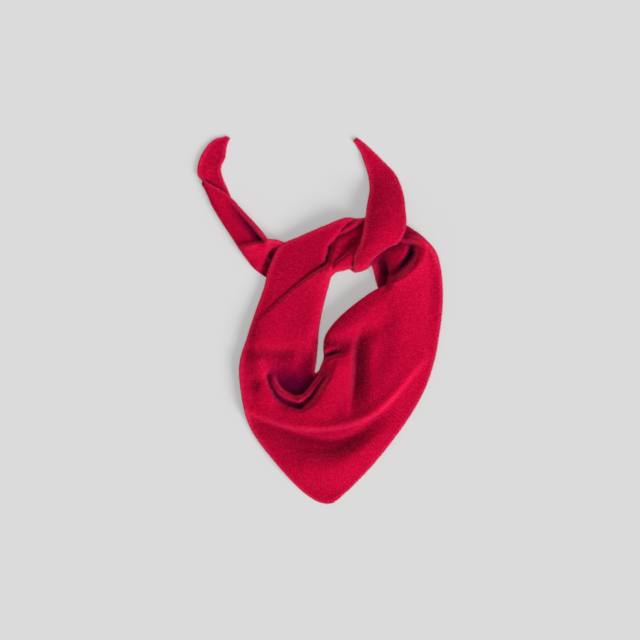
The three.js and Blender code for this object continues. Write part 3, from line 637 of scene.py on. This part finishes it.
def make_cloth():
    """The whole cloth as one closed mesh, and its area."""
    surface, edge_distance, across, along, painted_light_masks = middle_surface()
    rows, columns = edge_distance.shape
    mesh = new_mesh("kerchief", cloth_vertices(surface, edge_distance), cloth_faces(rows, columns))
    add_map(mesh, across, along)
    for name, values in painted_light_masks.items():
        add_values(mesh, name, values, np.zeros(values.shape))
    # Closeness to the cut edge: where the painted edge highlight falls, and where more fibres grow
    closeness = np.exp(-((edge_distance / EDGE_GLOW_WIDTH) ** 2))
    add_values(mesh, "cut_edge", closeness, closeness)
    return add_object("kerchief", mesh), surface_area(surface)


def face_means(mesh, name, corners):
    """Mean over each face of one of the mesh's values."""
    values = np.zeros(len(mesh.vertices))
    mesh.attributes[name].data.foreach_get("value", values)
    return values[corners].mean(axis=1)


def fuzz_chances(mesh, corners, area, upright):
    """Share of the fibres on each face: more where the cloth turns away or ends, none in deep folds."""
    weight = area * (1 + FUZZ_ON_TURNS * np.clip(1 - upright, 0, 1)) * (upright > FUZZ_LOWEST_FACING)
    weight *= np.clip(1 - face_means(mesh, "depth", corners) / DEPTH_END, 0, 1)
    weight *= 1 + FUZZ_ON_EDGES * face_means(mesh, "cut_edge", corners)
    return weight / weight.sum()


def make_fuzz(cloth):
    """Loose wool fibres of the brushed face, one thin triangle each, shaded as if they faced mostly up."""
    mesh = cloth.data
    mesh.calc_loop_triangles()
    corners = np.zeros(len(mesh.loop_triangles) * 3, int)
    mesh.loop_triangles.foreach_get("vertices", corners)
    corners = corners.reshape(-1, 3)
    places = np.zeros(len(mesh.vertices) * 3)
    mesh.vertices.foreach_get("co", places)
    triangles = places.reshape(-1, 3)[corners]
    facing = np.cross(triangles[:, 1] - triangles[:, 0], triangles[:, 2] - triangles[:, 0])
    area = np.linalg.norm(facing, axis=1)
    facing = unit_vectors(facing, SMALLEST_FACE)
    chance = np.random.default_rng(FUZZ_SEED)
    chosen = chance.choice(len(corners), FUZZ_COUNT, p=fuzz_chances(mesh, corners, area, facing[:, 2]))
    first, second = np.sort(chance.random((2, FUZZ_COUNT)), axis=0)
    shares = np.stack([first, second - first, 1 - second], axis=1)
    roots = (triangles[chosen] * shares[:, :, None]).sum(axis=1)
    normals = facing[chosen]
    lean = chance.normal(size=(FUZZ_COUNT, 3))
    lean = unit_vectors(lean - normals * (lean * normals).sum(axis=1, keepdims=True))
    length_share = FUZZ_SHORTEST_SHARE + (1 - FUZZ_SHORTEST_SHARE) * chance.random((FUZZ_COUNT, 1))
    lift = FUZZ_LIFT * chance.random((FUZZ_COUNT, 1))
    tips = roots + FUZZ_LENGTH * length_share * (lean * np.sqrt(1 - lift**2) + normals * lift)
    tips[:, 2] = np.maximum(tips[:, 2], FUZZ_WIDTH)
    aside = np.cross(lean, normals) * FUZZ_WIDTH / 2
    vertices = np.stack([roots - aside, roots + aside, tips], axis=1).reshape(-1, 3)
    fuzz_mesh = new_mesh("fuzz", vertices, np.arange(FUZZ_COUNT * 3).reshape(-1, 3))
    lit_from = normals * FUZZ_SHADED_BY_CLOTH + np.array([0, 0, 1])
    fuzz_mesh.normals_split_custom_set_from_vertices(np.repeat(lit_from, 3, axis=0).tolist())
    return add_object("fuzz", fuzz_mesh)


def new_material(name):
    """A material with its node tree and its shader."""
    material = bpy.data.materials.new(name)
    material.use_nodes = True
    tree = material.node_tree
    return material, tree, tree.nodes["Principled BSDF"]


def feed(tree, node, inputs):
    """Links each input to another node's output, or sets it to a value."""
    for name, source in inputs.items():
        if isinstance(source, bpy.types.NodeSocket):
            tree.links.new(source, node.inputs[name])
        else:
            node.inputs[name].default_value = source


def add_node(tree, kind, inputs, **settings):
    """A new node with its settings and what feeds it."""
    node = tree.nodes.new(kind)
    for name, setting in settings.items():
        setattr(node, name, setting)
    feed(tree, node, inputs)
    return node


def add_ramp(tree, share, *stops):
    """Colour by a share, from stops that are each a position and a colour, in rising order."""
    ramp = add_node(tree, "ShaderNodeValToRGB", {"Fac": share})
    elements = ramp.color_ramp.elements
    for element, (position, colour) in zip(elements, (stops[0], stops[-1])):
        element.position = position
        element.color = colour
    for position, colour in stops[1:-1]:
        elements.new(position).color = colour
    return ramp.outputs["Color"]


def multiply(tree, share, colour, tint):
    """A colour multiplied by a tint, in part or in full."""
    inputs = {"Factor": share, "A": colour, "B": tint}
    mixed = add_node(tree, "ShaderNodeMix", inputs, data_type="RGBA", blend_type="MULTIPLY")
    return mixed.outputs["Result"]


def knit_red(tree, place):
    """Mottled red with a trace of the knit's rows."""
    inputs = {
        "Vector": place,
        "Scale": MOTTLE_SCALE,
        "Detail": MOTTLE_DETAIL,
        "Roughness": MOTTLE_ROUGHNESS,
    }
    mottle = add_node(tree, "ShaderNodeTexNoise", inputs)
    flat_place = add_node(tree, "ShaderNodeUVMap", {}, uv_map="cloth")
    inputs = {
        "Vector": flat_place.outputs["UV"],
        "Scale": WALES_SCALE,
        "Distortion": WALES_DISTORTION,
        "Detail Scale": WALES_DETAIL_SCALE,
    }
    wales = add_node(tree, "ShaderNodeTexWave", inputs, bands_direction="Y")
    inputs = {"Factor": WALES_SHARE, "A": mottle.outputs["Fac"], "B": wales.outputs["Fac"]}
    ribbed = add_node(tree, "ShaderNodeMix", inputs)
    stops = ((MOTTLE_DARKEST, RED_DARK), (MOTTLE_MIDDLE, RED), (MOTTLE_LIGHTEST, RED_LIGHT))
    return add_ramp(tree, ribbed.outputs["Result"], *stops)


def openness(tree):
    """Share of the sky that the surface sees within CREASE_REACH, sharpened."""
    sky = add_node(tree, "ShaderNodeAmbientOcclusion", {"Distance": CREASE_REACH}, samples=CREASE_RAYS)
    inputs = {"Value": sky.outputs["AO"], "From Min": CREASE_CLOSED, "From Max": CREASE_OPEN}
    sharpened = add_node(tree, "ShaderNodeMapRange", inputs, interpolation_type="SMOOTHSTEP")
    return sharpened.outputs["Result"]


def painted_fold_light(tree, colour):
    """The colour with painted highlights on crests and cut edges and painted shade in deep folds and broad
    valleys.
    """
    for name, start, end, tint in (
        ("crest", 0, 1, CREST_HIGHLIGHT),
        ("cut_edge", 0, 1, EDGE_HIGHLIGHT),
        ("depth", DEPTH_START, DEPTH_END, DEPTH_SHADE),
        ("valley", 0, VALLEY_END, VALLEY_SHADE),
    ):
        value = add_node(tree, "ShaderNodeAttribute", {}, attribute_name=name)
        inputs = {"Value": value.outputs["Fac"], "From Min": start, "From Max": end}
        share = add_node(tree, "ShaderNodeMapRange", inputs)
        colour = multiply(tree, share.outputs["Result"], colour, tint)
    return colour


def painted_rim_light(tree, open_share):
    """Strength of the painted rim light, a glow where the cloth turns away from above and lies open."""
    turned = add_node(tree, "ShaderNodeNewGeometry", {})
    upright = add_node(tree, "ShaderNodeSeparateXYZ", {"Vector": turned.outputs["Normal"]})
    inputs = {
        "Value": upright.outputs["Z"],
        "From Min": RIM_START,
        "From Max": RIM_END,
        "To Max": PAINTED_RIM_STRENGTH,
    }
    rim = add_node(tree, "ShaderNodeMapRange", inputs)
    inputs = {0: rim.outputs["Result"], 1: open_share}
    return add_node(tree, "ShaderNodeMath", inputs, operation="MULTIPLY").outputs["Value"]


def nap_bump(tree, place):
    """Fine roughness of the brushed face."""
    nap = add_node(tree, "ShaderNodeTexNoise", {"Vector": place, "Scale": NAP_SCALE, "Detail": NAP_DETAIL})
    inputs = {"Height": nap.outputs["Fac"], "Strength": NAP_STRENGTH, "Distance": NAP_HEIGHT}
    return add_node(tree, "ShaderNodeBump", inputs).outputs["Normal"]


def knit_material():
    """Brushed wool knit: mottled red, with painted shade in its folds and creases, painted highlights on
    crests and cut edges, a soft sheen, painted rim light that glows on the rims, and a nap.
    """
    material, tree, shader = new_material("brushed_wool")
    place = add_node(tree, "ShaderNodeTexCoord", {}).outputs["Object"]
    open_share = openness(tree)
    # Painted shade: the colour darkens and turns purple where the surface sees little sky
    inputs = {"Factor": open_share, "A": CREASE_SHADE, "B": WHITE}
    crease_shade = add_node(tree, "ShaderNodeMix", inputs, data_type="RGBA")
    colour = multiply(tree, 1, knit_red(tree, place), crease_shade.outputs["Result"])
    finish = {
        "Base Color": painted_fold_light(tree, colour),
        "Roughness": CLOTH_ROUGHNESS,
        "Specular IOR Level": CLOTH_SPECULAR,
        "Sheen Weight": SHEEN_WEIGHT,
        "Sheen Roughness": SHEEN_ROUGHNESS,
        "Sheen Tint": SHEEN_TINT,
        # Painted rim light: the rims glow red where they turn away from above
        "Emission Color": PAINTED_RIM_COLOUR,
        "Emission Strength": painted_rim_light(tree, open_share),
        "Normal": nap_bump(tree, place),
    }
    feed(tree, shader, finish)
    return material


def fuzz_material():
    """Wool fibres, a little lighter than the cloth, with a tone that changes from place to place, and a
    painted glow in that colour.
    """
    material, tree, shader = new_material("wool_fibre")
    place = add_node(tree, "ShaderNodeTexCoord", {}).outputs["Object"]
    tone = add_node(tree, "ShaderNodeTexNoise", {"Vector": place, "Scale": FIBRE_TONE_SCALE})
    stops = ((FIBRE_TONE_DARKEST, FIBRE_DARK), (FIBRE_TONE_LIGHTEST, FIBRE_LIGHT))
    colour = add_ramp(tree, tone.outputs["Fac"], *stops)
    finish = {
        "Base Color": colour,
        "Roughness": FIBRE_ROUGHNESS,
        "Specular IOR Level": FIBRE_SPECULAR,
        # Painted light: the fibres glow in their own colour, though they are no lamp
        "Emission Color": colour,
        "Emission Strength": FIBRE_PAINTED_GLOW,
    }
    feed(tree, shader, finish)
    return material


def floor_material():
    """Pale matt paper, with a glow for the light that reaches it from all round."""
    material, tree, shader = new_material("pale_paper")
    finish = {
        "Base Color": FLOOR_GREY,
        "Roughness": FLOOR_ROUGHNESS,
        "Specular IOR Level": FLOOR_SPECULAR,
        "Emission Color": WHITE,
        "Emission Strength": FLOOR_GLOW,
    }
    feed(tree, shader, finish)
    return material


def make_floor():
    half = FLOOR_SIZE / 2
    mesh = bpy.data.meshes.new("floor")
    corners = [(-half, -half, 0), (half, -half, 0), (half, half, 0), (-half, half, 0)]
    mesh.from_pydata(corners, [], [(0, 1, 2, 3)])
    mesh.materials.append(floor_material())
    floor = add_object("floor", mesh)
    floor.location.z = -FLOOR_DROP


def make_camera():
    data = bpy.data.cameras.new("camera")
    data.sensor_width = SENSOR_WIDTH
    data.lens = SENSOR_WIDTH * CAMERA_HEIGHT / FIELD_WIDTH
    camera = add_object("camera", data)
    camera.location = (0, 0, CAMERA_HEIGHT)
    bpy.context.scene.camera = camera


def make_lights():
    """An even sky and one low, broad sun, as from a large window."""
    scene = bpy.context.scene
    world = bpy.data.worlds.new("studio")
    world.use_nodes = True
    background = world.node_tree.nodes["Background"]
    background.inputs["Color"].default_value = WHITE
    background.inputs["Strength"].default_value = SKY_STRENGTH
    scene.world = world
    data = bpy.data.lights.new("window", "SUN")
    data.energy = SUN_STRENGTH
    data.angle = SUN_ANGLE
    light = add_object("window", data)
    flat = math.cos(SUN_ELEVATION)
    towards = Vector((flat * math.cos(SUN_AZIMUTH), flat * math.sin(SUN_AZIMUTH), math.sin(SUN_ELEVATION)))
    light.rotation_euler = towards.to_track_quat("Z", "Y").to_euler()
    scene.view_settings.view_transform = "Standard"


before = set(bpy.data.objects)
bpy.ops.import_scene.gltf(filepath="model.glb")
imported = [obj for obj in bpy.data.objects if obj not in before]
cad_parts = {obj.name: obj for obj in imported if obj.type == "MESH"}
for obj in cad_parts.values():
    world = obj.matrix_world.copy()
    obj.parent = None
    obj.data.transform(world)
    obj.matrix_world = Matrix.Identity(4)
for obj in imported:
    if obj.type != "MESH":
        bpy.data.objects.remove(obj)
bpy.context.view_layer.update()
make_camera()
make_floor()
make_lights()

kerchief, cloth_area = make_cloth()
kerchief.data.materials.append(knit_material())
fuzz = make_fuzz(kerchief)
fuzz.data.materials.append(fuzz_material())
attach(kerchief, "root")
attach(fuzz, "root")
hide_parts("kerchief_cloth")
